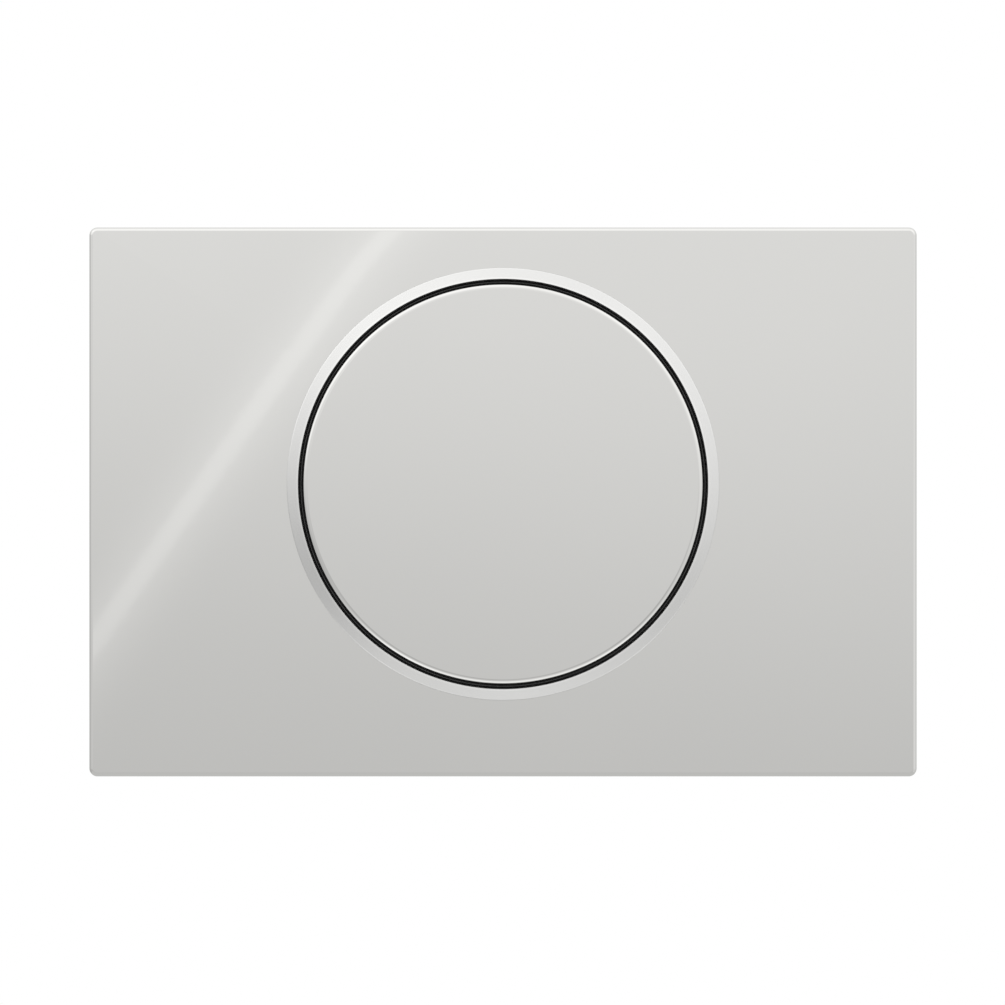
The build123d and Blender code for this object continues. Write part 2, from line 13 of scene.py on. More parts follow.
import bmesh
import bpy
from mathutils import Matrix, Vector

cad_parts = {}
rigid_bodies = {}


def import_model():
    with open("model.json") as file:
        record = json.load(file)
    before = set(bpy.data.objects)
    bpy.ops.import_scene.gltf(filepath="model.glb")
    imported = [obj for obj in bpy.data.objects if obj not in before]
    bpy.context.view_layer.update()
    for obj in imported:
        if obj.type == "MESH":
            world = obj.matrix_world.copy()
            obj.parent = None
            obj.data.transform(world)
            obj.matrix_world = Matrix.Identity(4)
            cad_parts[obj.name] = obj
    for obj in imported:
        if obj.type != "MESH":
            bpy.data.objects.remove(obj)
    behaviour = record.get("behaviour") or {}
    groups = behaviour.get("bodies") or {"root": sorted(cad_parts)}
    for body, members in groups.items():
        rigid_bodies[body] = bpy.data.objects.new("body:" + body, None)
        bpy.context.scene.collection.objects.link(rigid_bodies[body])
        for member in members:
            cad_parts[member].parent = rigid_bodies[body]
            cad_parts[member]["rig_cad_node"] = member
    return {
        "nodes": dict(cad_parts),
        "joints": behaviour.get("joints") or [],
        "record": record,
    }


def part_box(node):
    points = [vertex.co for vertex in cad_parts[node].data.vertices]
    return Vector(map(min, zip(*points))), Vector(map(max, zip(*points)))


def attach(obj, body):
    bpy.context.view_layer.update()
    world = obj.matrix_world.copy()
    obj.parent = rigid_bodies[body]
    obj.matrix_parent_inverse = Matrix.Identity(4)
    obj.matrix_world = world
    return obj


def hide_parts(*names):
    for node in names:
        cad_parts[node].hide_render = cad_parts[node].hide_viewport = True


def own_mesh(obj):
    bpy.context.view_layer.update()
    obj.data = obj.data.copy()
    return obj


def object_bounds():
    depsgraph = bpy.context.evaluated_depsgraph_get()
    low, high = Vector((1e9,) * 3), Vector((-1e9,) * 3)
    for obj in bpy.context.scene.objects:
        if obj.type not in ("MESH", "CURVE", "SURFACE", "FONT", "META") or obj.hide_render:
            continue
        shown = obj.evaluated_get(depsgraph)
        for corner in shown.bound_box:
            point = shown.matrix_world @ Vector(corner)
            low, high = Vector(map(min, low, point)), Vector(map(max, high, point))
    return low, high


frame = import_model()
cad_low, cad_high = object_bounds()
cad_size = [round(1000 * v, 1) for v in cad_high - cad_low]
print("frame:", len(frame["nodes"]), "nodes, size in mm", cad_size)

# %% [markdown]
# ## Camera
#
# The plate is seen straight on, as in a catalogue picture, so the camera looks along +Y. A long lens
# from a metre away keeps the sides of the plate out of sight. The lens could be found by trial, but
# the width of the view at the plate's face is known, so it is worked out from similar triangles.

# %% Camera straight in front of the plate
VIEW_WIDTH = 0.29845
VIEW_DISTANCE = 1.0
VIEW_SHIFT = Vector((-0.00016, 0, -0.00017))

plate_low, plate_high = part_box("cover_plate")
face_y = plate_low.y
camera_data = bpy.data.cameras.new("camera")
camera_data.lens = camera_data.sensor_width * VIEW_DISTANCE / VIEW_WIDTH
camera = bpy.data.objects.new("camera", camera_data)
camera.location = Vector((0, face_y - VIEW_DISTANCE, 0)) + VIEW_SHIFT
camera.rotation_euler = (pi / 2, 0, 0)
bpy.context.scene.collection.objects.link(camera)
bpy.context.scene.camera = camera
bpy.context.scene.view_settings.view_transform = "Standard"
print("camera: lens", round(camera_data.lens, 1), "mm")

# %% [markdown]
# ## Writing shaders as sums
#
# A finish is a network of nodes, and most of them only add and multiply. One small class wraps a
# socket, so that an expression such as `0.06 + 0.02 * smudge` adds the Math nodes by itself. Its
# `node` method makes every other kind of node: settings come first, then the sockets' values or links.

# %% A value that varies over a surface
class Field:
    """An output socket in a node tree. Arithmetic on fields adds Math nodes."""

    def __init__(self, tree, socket=None):
        self.tree = tree
        self.socket = socket

    def node(self, kind, settings, sockets, out=0):
        """Adds a node, sets it up, fills or links its sockets, and gives one of its outputs."""
        made = self.tree.nodes.new(kind)
        for name, value in settings.items():
            setattr(made, name, value)
        for name, value in sockets.items():
            if isinstance(value, Field):
                self.tree.links.new(value.socket, made.inputs[name])
            else:
                made.inputs[name].default_value = value
        return Field(self.tree, made.outputs[out] if made.outputs else None)

    def math(self, operation, first, second=0.0):
        return self.node("ShaderNodeMath", {"operation": operation}, {0: first, 1: second})

    def __add__(self, other):
        return self.math("ADD", self, other)

    def __sub__(self, other):
        return self.math("SUBTRACT", self, other)

    def __rsub__(self, other):
        return self.math("SUBTRACT", other, self)

    def __mul__(self, other):
        return self.math("MULTIPLY", self, other)

    __radd__ = __add__
    __rmul__ = __mul__


print("shader maths ready")

# %% [markdown]
# ## Studio light
#
# Bright plating has no colour of its own: it shows the room. So the room is designed first. It is a
# pale surround with a few broad soft lights and dark cards, each one a smooth bump around a direction,
# given by how far it is from the camera's side of the room, its angle round the plate, how tight it is
# and how strong it is. Area lamps would also do, but their edges would show as hard shapes in the
# plating. Behind the camera the surround falls off from top to bottom, which shades the flat face, and
# one thin strip light makes the slanting streak on its left. Camera rays see plain white.

# %% Soft lights and dark cards
SURROUND = 0.816
SOFT_LIGHTS = [
    (82, 90, 7, 0.20), (80, 135, 9, 0.33), (80, 45, 9, 0.30), (55, 120, 9, 0.14),
    (52, 60, 9, 0.08), (82, 270, 8, 0.08), (78, 305, 25, 0.30), (78, 272, 25, 0.22),
    (78, 238, 25, 0.36), (55, 5, 10, 0.08), (76, 95, 22, 0.09), (76, 148, 22, 0.09),
    (18, 147, 90, 0.14), (54, 182, 16, 0.035), (78, 166, 70, 0.26), (78, 16, 90, 0.16),
]
DARK_CARDS = [
    (60, 205, 12, -0.24), (25, 318, 26, -0.28), (26, 215, 22, -0.22), (26, 262, 26, -0.14),
    (50, 325, 14, -0.15), (40, 255, 20, -0.08), (110, 200, 6, -0.36), (110, 330, 6, -0.17),
    (54, 240, 24, -0.03), (54, 299, 24, -0.035),
]
BEHIND_CAMERA = Vector((0, -1, 0))
FALL_OFF = 0.10
FALL_OFF_UP = Vector((0.2, 0, 1))
FALL_OFF_HEIGHT = 0.085
FALL_OFF_TIGHTNESS = 25


def room_direction(off_axis, turn):
    """Direction that leans away from -Y by one angle, towards another angle round the plate."""
    lean, turn = radians(off_axis), radians(turn)
    return Vector((sin(lean) * cos(turn), -cos(lean), sin(lean) * sin(turn)))


world = bpy.data.worlds.new("studio")
bpy.context.scene.world = world
world.use_nodes = True
world.node_tree.nodes.clear()
room = Field(world.node_tree)
towards = room.node("ShaderNodeTexCoord", {}, {}, "Generated")


def along(direction):
    """How far the looked-at direction points along another, as a field."""
    product = {"operation": "DOT_PRODUCT"}
    return room.node("ShaderNodeVectorMath", product, {0: towards, 1: direction}, "Value")


def soft_bump(direction, tightness):
    """One at a direction, falling smoothly to nothing around it."""
    return room.math("EXPONENT", (along(direction) - 1.0) * tightness)


light = SURROUND
for off_axis, turn, tightness, strength in SOFT_LIGHTS + DARK_CARDS:
    light = light + strength * soft_bump(room_direction(off_axis, turn), tightness)
height = along(FALL_OFF_UP) * (1 / FALL_OFF_HEIGHT)
light = light + FALL_OFF * room.math("TANH", height) * soft_bump(BEHIND_CAMERA, FALL_OFF_TIGHTNESS)
print("studio:", len(SOFT_LIGHTS), "soft lights and", len(DARK_CARDS), "dark cards")

# %% The strip light behind the streak
STREAK_TOP = Vector((-0.0356, -VIEW_DISTANCE, 0.0816))
STREAK_FOOT = Vector((-0.1225, -VIEW_DISTANCE, -0.0431))
STREAK_TIGHTNESS = 30
CORE_WIDTH, CORE_EDGE, CORE_LIGHT = 0.0031, 6.0, 0.067
GLOW_WIDTH, GLOW_EDGE, GLOW_LIGHT = 0.0095, 1.7, 0.085
ROOM_TINT = (1.0, 0.998, 0.988, 1)

across = STREAK_TOP.cross(STREAK_FOOT).normalized()
brightest = (0.75 * STREAK_TOP + 1.25 * STREAK_FOOT).normalized()
distance = along(across)


def strip(width, edge):
    """A straight band of light. A larger edge number makes its sides sharper."""
    scaled = room.math("ABSOLUTE", distance * (1 / width))
    return room.math("EXPONENT", room.math("POWER", scaled, edge) * -1.0)


reach = soft_bump(brightest, STREAK_TIGHTNESS)
streak = CORE_LIGHT * strip(CORE_WIDTH, CORE_EDGE) + GLOW_LIGHT * strip(GLOW_WIDTH, GLOW_EDGE)
light = light + streak * reach
seen = room.node("ShaderNodeLightPath", {}, {}, "Is Camera Ray")
lit = room.node("ShaderNodeBackground", {}, {"Color": ROOM_TINT, "Strength": light})
white = room.node("ShaderNodeBackground", {}, {"Color": (1, 1, 1, 1), "Strength": 1.0})
shown = room.node("ShaderNodeMixShader", {}, {0: seen, 1: lit, 2: white})
room.node("ShaderNodeOutputWorld", {}, {"Surface": shown})
print("streak across", [round(v, 3) for v in across])

# %% [markdown]
# ## Bright plating
#
# The cover and the button are moulded plastic with a bright chrome plating, light and slightly warm.
# It could be one grey metal, but then it would look like a render: real plating follows the moulding's
# faint waviness and carries traces of wiping. So the metal gets a very shallow bump a few millimetres
# long, and a roughness that changes a little in long streaks.

# %% Helpers for finishes, and the bright plating
def new_finish(name):
    """An empty material, and a field in its node tree to start from."""
    made = bpy.data.materials.new(name)
    made.use_nodes = True
    made.node_tree.nodes.clear()
    return made, Field(made.node_tree)


def close_finish(start, sockets):
    """The shader at the end of a finish. Numbers stay on its own sockets, fields are linked."""
    shader = start.node("ShaderNodeBsdfPrincipled", {}, sockets)
    start.node("ShaderNodeOutputMaterial", {}, {"Surface": shader})


def places_on(start, scale=(1, 1, 1)):
    """Places on the piece, in metres. A smaller scale makes a pattern longer in that direction."""
    place = start.node("ShaderNodeTexCoord", {}, {}, "Object")
    return start.node("ShaderNodeMapping", {}, {"Vector": place, "Scale": scale})


def grain(start, place, scale, detail=2.0):
    """Cloudy noise from 0 to 1, with as many features in a metre as its scale says."""
    sockets = {"Vector": place, "Scale": scale, "Detail": detail}
    return start.node("ShaderNodeTexNoise", {}, sockets, "Fac")


def bumped(start, height, depth):
    """A normal that follows a height field of a depth in metres."""
    sockets = {"Strength": 1.0, "Distance": depth, "Height": height}
    return start.node("ShaderNodeBump", {}, sockets, "Normal")


def tinted(start, share, first, second):
    """A colour between two, by a field from 0 to 1."""
    kind = {"data_type": "RGBA"}
    return start.node("ShaderNodeMix", kind, {"Factor": share, 6: (*first, 1), 7: (*second, 1)}, 2)


PLATING_LIGHT = (0.806, 0.804, 0.791)
PLATING_DEEP = (0.790, 0.788, 0.777)
WAVE_DEPTH = 0.0000006

plating, start = new_finish("bright_plating")
place = places_on(start)
wiped = grain(start, places_on(start, (0.35, 1, 1)), 60, 3)
wave = grain(start, place, 260, 1)
close_finish(start, {
    "Base Color": tinted(start, grain(start, place, 14, 2), PLATING_LIGHT, PLATING_DEEP),
    "Metallic": 1.0,
    "Roughness": 0.014 + 0.012 * wiped,
    "Normal": bumped(start, wave, WAVE_DEPTH),
})
print("finish:", plating.name)

# %% [markdown]
# ## Satin ring
#
# The ring about the button is plated too, but it was brushed round and round before, so it blurs what
# it mirrors. The brush marks run along the ring. A pattern that turns with the ring could come from a
# UV map; here the distance from the ring's axis does it, because lines that depend only on that
# distance are circles. The same distance lightens the colour towards the lip: a painted highlight.

# %% Satin plating with round brush marks
# The lighter lip colour is a painted highlight: full up to the first radius, gone by the second.
RING_PLATING = (0.788, 0.788, 0.784)
LIP_PAINTED_HIGHLIGHT = (0.89, 0.89, 0.885)
HIGHLIGHT_FULL_TO, HIGHLIGHT_GONE_FROM = 0.0611, 0.0616
BRUSH_DEPTH = 0.0000004

ring_low, ring_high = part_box("design_ring")
button_z = (ring_low.z + ring_high.z) / 2

satin, start = new_finish("satin_plating")
place = start.node("ShaderNodeTexCoord", {}, {}, "Object")
centred = start.node("ShaderNodeMapping", {}, {"Vector": place, "Location": (0, 0, -button_z)})
side_on = start.node("ShaderNodeSeparateXYZ", {}, {"Vector": centred}, "X")
depth = start.node("ShaderNodeSeparateXYZ", {}, {"Vector": centred}, "Y")
up_on = start.node("ShaderNodeSeparateXYZ", {}, {"Vector": centred}, "Z")
radius = start.math("SQRT", side_on * side_on + up_on * up_on)
turn = 0.02 * start.math("ARCTAN2", up_on, side_on)
turning = start.node("ShaderNodeCombineXYZ", {}, {"X": radius, "Y": depth, "Z": turn})
brushed = grain(start, turning, 6000, 3)
# Painted highlight: the colour turns lighter towards the lip. The brush marks add a little real tone.
painted_lip_highlight = start.node("ShaderNodeMapRange", {"interpolation_type": "SMOOTHSTEP"}, {
    "Value": radius, "From Min": HIGHLIGHT_FULL_TO, "From Max": HIGHLIGHT_GONE_FROM, "To Min": 1.0, "To Max": 0.0,
})
lip_highlight_and_brush_tone = 0.7 * painted_lip_highlight + 0.15 * brushed
close_finish(start, {
    "Base Color": tinted(start, lip_highlight_and_brush_tone, RING_PLATING, LIP_PAINTED_HIGHLIGHT),
    "Metallic": 1.0,
    "Roughness": 0.19 + 0.06 * brushed,
    "Normal": bumped(start, brushed, BRUSH_DEPTH),
})
print("finish:", satin.name, "about height", round(1000 * button_z, 2), "mm")

# %% [markdown]
# ## Moulded plastics
#
# Behind the plate most pieces are plain injection mouldings: a black housing and rocker, a dark grey
# frame, muted blue knobs and adjusters, and natural, slightly waxy rods and bushes. What makes moulded
# plastic look moulded is the fine spark-eroded grain of the tool and a faint unevenness in its gloss.
# One function makes all four, since they differ only in their colours, their gloss and their grain.

# %% One recipe for four plastics
def moulded(name, colour, deeper, gloss, grain_depth):
    """A moulded plastic: two near colours, a roughness, and the depth of its grain in metres."""
    made, start = new_finish(name)
    place = places_on(start)
    cloud = grain(start, place, 35, 3)
    fine = grain(start, place, 2600, 2)
    close_finish(start, {
        "Base Color": tinted(start, cloud, colour, deeper),
        "Roughness": gloss - 0.06 + 0.08 * cloud + 0.06 * fine,
        "Normal": bumped(start, fine, grain_depth),
        "IOR": 1.49,
    })
    return made


black_plastic = moulded("black_moulding", (0.016, 0.016, 0.017), (0.010, 0.010, 0.011), 0.56, 0.000025)
grey_plastic = moulded("grey_moulding", (0.175, 0.183, 0.192), (0.145, 0.152, 0.160), 0.48, 0.00003)
knob_plastic = moulded("knob_moulding", (0.115, 0.225, 0.345), (0.090, 0.190, 0.305), 0.42, 0.00002)
rod_plastic = moulded("natural_moulding", (0.790, 0.770, 0.705), (0.740, 0.715, 0.640), 0.36, 0.000012)
print("finishes:", [m.name for m in (black_plastic, grey_plastic, knob_plastic, rod_plastic)])

# %% [markdown]
# ## Steel and rubber
#
# The screws, studs and the hinge shaft are zinc plated: bright, a little blotchy, with a cool tint.
# The springs are drawn wire, darker and with a fine grain. The buffers and tips are soft black
# rubber, which is dull and dusty. Each could be a flat colour, but its blotches tell what it is.

# %% Zinc, wire and rubber
zinc, start = new_finish("zinc_plating")
place = places_on(start)
blotch = grain(start, place, 420, 4)
close_finish(start, {
    "Base Color": tinted(start, blotch, (0.66, 0.67, 0.69), (0.56, 0.57, 0.57)),
    "Metallic": 1.0,
    "Roughness": 0.24 + 0.16 * blotch,
    "Normal": bumped(start, grain(start, place, 2200, 2), 0.000004),
})
wire, start = new_finish("spring_wire")
place = places_on(start)
drawn = grain(start, place, 1500, 3)
close_finish(start, {
    "Base Color": tinted(start, drawn, (0.54, 0.54, 0.55), (0.40, 0.40, 0.41)),
    "Metallic": 1.0,
    "Roughness": 0.26 + 0.14 * drawn,
    "Normal": bumped(start, drawn, 0.000006),
})
rubber, start = new_finish("black_rubber")
place = places_on(start)
dust = grain(start, place, 180, 4)
close_finish(start, {
    "Base Color": tinted(start, dust, (0.020, 0.020, 0.021), (0.046, 0.045, 0.043)),
    "Roughness": 0.70 + 0.18 * dust,
    "Normal": bumped(start, grain(start, place, 3200, 2), 0.00002),
})
print("finishes:", [m.name for m in (zinc, wire, rubber)])

# %% [markdown]
# ## Tools of the bench
#
# New pieces are made as by hand: a primitive, then edit mode, then extrude, inset and bevel. An
# operator works on whatever is selected, so faces and edges are picked in code by where they are. The
# helpers below pick, and close a piece: they merge doubles, turn the faces outwards, smooth the curved
# faces and let the large flat faces keep their own direction, so that a mirror finish shows them flat.

# %% Picking, naming and closing
MERGE_DISTANCE = 0.000002


def deselect():
    bpy.ops.object.select_all(action="DESELECT")


def named(name):
    """Names the object that was just added, and puts its place and size into its mesh."""
    piece = bpy.context.object
    piece.name = name
    piece.data.name = name
    bpy.ops.object.transform_apply(location=True, rotation=True, scale=True)
    return piece


def edit(piece):
    """Opens one piece in edit mode, with nothing selected."""
    deselect()
    piece.select_set(True)
    bpy.context.view_layer.objects.active = piece
    bpy.ops.object.mode_set(mode="EDIT")
    bpy.ops.mesh.select_all(action="DESELECT")


def pick_faces(piece, test):
    """Selects the faces whose middle and normal pass a test."""
    bpy.ops.mesh.select_mode(type="FACE")
    bpy.ops.mesh.select_all(action="DESELECT")
    mesh = bmesh.from_edit_mesh(piece.data)
    for face in mesh.faces:
        face.select_set(test(face.calc_center_median(), face.normal))
    bmesh.update_edit_mesh(piece.data)


def pick_edges(piece, test):
    """Selects the edges whose two ends pass a test."""
    bpy.ops.mesh.select_mode(type="EDGE")
    bpy.ops.mesh.select_all(action="DESELECT")
    mesh = bmesh.from_edit_mesh(piece.data)
    for side in mesh.edges:
        side.select_set(test(side.verts[0].co, side.verts[1].co))
    bmesh.update_edit_mesh(piece.data)


def leave():
    bpy.ops.object.mode_set(mode="OBJECT")


def apply(piece, name):
    bpy.context.view_layer.objects.active = piece
    bpy.ops.object.modifier_apply(modifier=name)


def smooth(piece, angle):
    """Smooths the curved faces, and lets the large flat ones keep their own direction."""
    bpy.ops.object.shade_smooth_by_angle(angle=radians(angle))
    flat = piece.modifiers.new("flat", "WEIGHTED_NORMAL")
    flat.keep_sharp = True
    flat.weight = 100
    apply(piece, "flat")


def merge(piece):
    """Merges doubles and turns the faces outwards."""
    edit(piece)
    bpy.ops.mesh.select_all(action="SELECT")
    bpy.ops.mesh.remove_doubles(threshold=MERGE_DISTANCE)
    bpy.ops.mesh.normals_make_consistent(inside=False)
    leave()


def close(piece, smooth_angle=40):
    """Merges and smooths a piece."""
    merge(piece)
    smooth(piece, smooth_angle)


def dress(piece, body, finish, slot, *nodes):
    """Gives a finished piece its material, its body and the CAD nodes that it stands for."""
    piece.data.materials.clear()
    piece.data.materials.append(finish)
    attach(piece, body)
    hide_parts(*nodes)
    print("piece:", piece.name, len(piece.data.polygons), "faces, rides on", body)


print("bench ready")

# %% [markdown]
# ## Turned shapes
#
# The ring, the button, the posts, the studs and the rods are round about an axis that goes into the
# wall. They could be spun from a profile, but a circle that is extruded and resized step by step gives
# the same rings of faces with no seam along them. A profile is a list of (radius, depth) pairs. Where
# the last pair repeats the first, the shape is a closed ring once its doubles are merged.

# %% A round shape from its profile
def turned(name, profile, x, z, sides=96, ends=(False, False)):
    """Circle extruded along a profile about an axis along Y. Either end may be filled."""
    deselect()
    radius, depth = profile[0]
    upright, place = (pi / 2, 0, 0), (x, depth, z)
    bpy.ops.mesh.primitive_circle_add(vertices=sides, radius=radius, rotation=upright, location=place)
    piece = named(name)
    edit(piece)
    bpy.ops.mesh.select_mode(type="EDGE")
    bpy.ops.mesh.select_all(action="SELECT")
    for (radius, depth), (wider, deeper) in zip(profile, profile[1:]):
        bpy.ops.mesh.extrude_region_move(TRANSFORM_OT_translate={"value": (0, deeper - depth, 0)})
        share = wider / radius
        bpy.ops.transform.resize(value=(share, 1, share), center_override=(x, deeper, z))
    if ends[1]:
        bpy.ops.mesh.edge_face_add()
    if ends[0]:
        first = profile[0][1]
        pick_edges(piece, lambda a, b: abs(a.y - first) < 1e-7 and abs(b.y - first) < 1e-7)
        bpy.ops.mesh.edge_face_add()
    leave()
    return piece


def ring_of_edges(x, z, radius, depth):
    """A test for the edges that run round an axis at one radius and depth."""
    def on_it(point):
        out = Vector((point.x - x, point.z - z)).length
        return abs(out - radius) < 0.00003 and abs(point.y - depth) < 0.00001
    return lambda a, b: on_it(a) and on_it(b)


print("turning ready")

# %% [markdown]
# ## The ring
#
# A cone that rises from the face of the plate to a rounded lip, so it throws back the light above it
# on its upper half and the darker room below it on its lower half. Its flange sits behind the plate.
# The CAD ring has the same shape in facets, which a satin mirror would show, so it is turned anew with
# many more sides, and its lip and foot are rounded with Bevel.

# %% Turn the ring
LIP_ROUND = 0.00016
FOOT_ROUND = 0.00008
BORE, CONE_END, CONE_FOOT, FLANGE = 0.0608, 0.06395, 0.0642, 0.0658
LIP_Y = face_y - 0.0018
CONE_END_Y = face_y - 0.00025
FOOT_Y = face_y - 0.00004
PLATE_BACK_Y = face_y + 0.0024
FLANGE_Y = ring_high.y

profile = [
    (BORE, FLANGE_Y), (BORE, LIP_Y), (CONE_END, CONE_END_Y), (CONE_FOOT, FOOT_Y),
    (CONE_FOOT, PLATE_BACK_Y), (FLANGE, PLATE_BACK_Y), (FLANGE, FLANGE_Y), (BORE, FLANGE_Y),
]
ring = turned("brushed_ring", profile, 0, button_z, 288)
close(ring)
edit(ring)
pick_edges(ring, ring_of_edges(0, button_z, BORE, LIP_Y))
bpy.ops.mesh.bevel(offset=LIP_ROUND, segments=6)
pick_edges(ring, ring_of_edges(0, button_z, CONE_END, CONE_END_Y))
bpy.ops.mesh.bevel(offset=FOOT_ROUND, segments=3)
leave()
close(ring)
dress(ring, "mount", satin, "polished_chrome", "design_ring")

# %% [markdown]
# ## The button
#
# A flat round cap, hollow behind, with four posts for the screws that hold it on the rocker. Its edge
# is a soft bevel: nearly flat at first, then a narrow slope, so it draws a thin bright line round the
# button. A plain round edge would turn dark there, because its steep part looks into the gap. The cap
# is turned from its profile, and Bevel softens the two corners of the slope. The four posts are one
# short tube, turned once and copied.

# %% Shape the button
CAP_MIDDLE, CAP_THICKNESS, CAP_RIM = 0.030, 0.0022, 0.0018
BEVEL_WIDTH, BEVEL_DEPTH = 0.0008, 0.00065
FACE_SOFTNESS, EDGE_SOFTNESS = 0.0005, 0.00005

cap_low, cap_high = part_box("button_cap")
cap_radius = (cap_high.z - cap_low.z) / 2
cap_floor_y = cap_low.y + CAP_THICKNESS
cap_edge_y = cap_low.y + BEVEL_DEPTH
profile = [
    (CAP_MIDDLE, cap_low.y), (cap_radius - BEVEL_WIDTH, cap_low.y), (cap_radius, cap_edge_y),
    (cap_radius, cap_high.y), (cap_radius - CAP_RIM, cap_high.y), (cap_radius - CAP_RIM, cap_floor_y),
]
button = turned("button_dish", profile, 0, button_z, 288, (False, True))
edit(button)
pick_edges(button, ring_of_edges(0, button_z, CAP_MIDDLE, cap_low.y))
bpy.ops.mesh.edge_face_add()
pick_edges(button, ring_of_edges(0, button_z, cap_radius - BEVEL_WIDTH, cap_low.y))
bpy.ops.mesh.bevel(offset=FACE_SOFTNESS, segments=8)
pick_edges(button, ring_of_edges(0, button_z, cap_radius, cap_edge_y))
bpy.ops.mesh.bevel(offset=EDGE_SOFTNESS, segments=2)
leave()
print("button radius in mm", round(1000 * cap_radius, 2))

# %% Posts behind the button
POST_HOLE, POST_OUTSIDE, POST_ROUND = 0.00155, 0.00335, 0.0003
SUNK = 0.0002
SCREW_INSET = 0.015


def posts(name, places, back_y, floor_y):
    """Short tubes standing on a floor: one is turned, the others are copies with their own mesh."""
    profile = [
        (POST_HOLE, floor_y), (POST_HOLE, back_y), (POST_OUTSIDE, back_y), (POST_OUTSIDE, floor_y),
        (POST_HOLE, floor_y),
    ]
    first = turned(name, profile, *places[0], 40)
    edit(first)
    pick_edges(first, ring_of_edges(*places[0], POST_OUTSIDE, back_y))
    bpy.ops.mesh.bevel(offset=POST_ROUND, segments=2)
    leave()
    made = [first]
    for x, z in places[1:]:
        copy = first.copy()
        copy.data = first.data.copy()
        bpy.context.scene.collection.objects.link(copy)
        copy.location = (x - places[0][0], 0, z - places[0][1])
        made.append(copy)
    return made


def joined(piece, others):
    """Joins other objects into a piece."""
    deselect()
    for other in others:
        other.select_set(True)
    piece.select_set(True)
    bpy.context.view_layer.objects.active = piece
    bpy.ops.object.join()
    return piece


def round_the_button(radius, angles):
    """Places on a circle about the button's axis."""
    return [(radius * cos(radians(a)), button_z + radius * sin(radians(a))) for a in angles]


screw_circle = round_the_button(cap_radius - SCREW_INSET, (0, 90, 180, 270))
joined(button, posts("button_posts", screw_circle, cap_high.y, cap_floor_y - SUNK))
close(button)
dress(button, "button", plating, "gloss_plastic", "button_cap")

# %% [markdown]
# ## The line in the gap
#
# At the bottom of the dark gap about the button a fine lighter line shows: the smooth top of a thin
# bead on the rocker, the only thing down there that faces the room. It could be painted on, but as a
# small turned bead it also moves with the button and is there from every side.

# %% Turn the bead
BEAD_IN, BEAD_OUT = 0.06018, 0.06056
BEAD_RISE, BEAD_ROUND = 0.0006, 0.00005
BEAD_BLACK, BEAD_GREY = (0.020, 0.020, 0.021), (0.028, 0.028, 0.03)

floor_y = cap_high.y
bead_top_y = floor_y - BEAD_RISE
profile = [
    (BEAD_IN, floor_y), (BEAD_IN, bead_top_y), (BEAD_OUT, bead_top_y), (BEAD_OUT, floor_y),
    (BEAD_IN, floor_y),
]
bead = turned("gap_bead", profile, 0, button_z, 288)
edit(bead)
for corner in (BEAD_IN, BEAD_OUT):
    pick_edges(bead, ring_of_edges(0, button_z, corner, bead_top_y))
    bpy.ops.mesh.bevel(offset=BEAD_ROUND, segments=2)
leave()
close(bead)
smooth_black, start = new_finish("smooth_black")
place = places_on(start)
close_finish(start, {
    "Base Color": tinted(start, grain(start, place, 300, 2), BEAD_BLACK, BEAD_GREY),
    "Roughness": 0.08 + 0.05 * grain(start, place, 90, 2),
    "IOR": 1.7,
})
bead.data.materials.append(smooth_black)
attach(bead, "button")
print("bead:", len(bead.data.polygons), "faces")

# %% [markdown]
# ## The cover
#
# A thin flat shell with crisp but not sharp edges. It starts as a block of the cover's own size. The
# four corners are bevelled first and the rim of the face after them, so that the small round runs on
# round the corners. The back is inset by the thickness of the skirt and pushed in. The round opening
# is cut by a Boolean with a cylinder, because cutting it by hand would need the knife tool. Inside
# stand the posts for the housing's screws, two ribs, and ledges for the frame's snap tongues.

# %% Shape the cover
CORNER_ROUND = 0.0024
FACE_ROUND, FACE_ROUND_SHAPE = 0.0012, 0.37
SKIRT = 0.0022
OPENING = 0.06422

deselect()
bpy.ops.mesh.primitive_cube_add(size=1, location=(plate_low + plate_high) / 2)
bpy.context.object.scale = plate_high - plate_low
cover = named("cover_shell")
edit(cover)
pick_edges(cover, lambda a, b: abs(a.y - b.y) > 0.005)
bpy.ops.mesh.bevel(offset=CORNER_ROUND, segments=10)
pick_edges(cover, lambda a, b: max(a.y, b.y) < face_y + 1e-6)
bpy.ops.mesh.bevel(offset=FACE_ROUND, segments=9, profile=FACE_ROUND_SHAPE)
pick_faces(cover, lambda middle, normal: normal.y > 0.99)
bpy.ops.mesh.inset(thickness=SKIRT)
bpy.ops.mesh.extrude_region_move(TRANSFORM_OT_translate={"value": (0, PLATE_BACK_Y - plate_high.y, 0)})
leave()
deselect()
bpy.ops.mesh.primitive_cylinder_add(vertices=288, radius=OPENING, depth=0.02, rotation=(pi / 2, 0, 0),
                                    location=(0, face_y, button_z))
cutter = named("opening_cutter")
hole = cover.modifiers.new("hole", "BOOLEAN")
hole.object = cutter
hole.operation = "DIFFERENCE"
hole.solver = "EXACT"
apply(cover, "hole")
bpy.data.objects.remove(cutter)
print("cover:", len(cover.data.polygons), "faces")

# %% Posts, ribs and ledges inside the cover
EAR_CIRCLE = 0.07175
POST_BACK_Y = PLATE_BACK_Y + 0.0025
RIB_X, RIB_HALF, RIB_END_Z, RIB_BACK_Y = 0.1149, 0.0008, 0.05, -0.0055
LEDGE_X, LEDGE_HALF, LEDGE_HEIGHT = 0.07, 0.007, 0.0024
LEDGE_FRONT_Y, LEDGE_BACK_Y = -0.0031, -0.0011
LOWER_LEDGE_Z, UPPER_LEDGE_Z = -0.0796, 0.0772
BAR_SOFTNESS = 0.0002


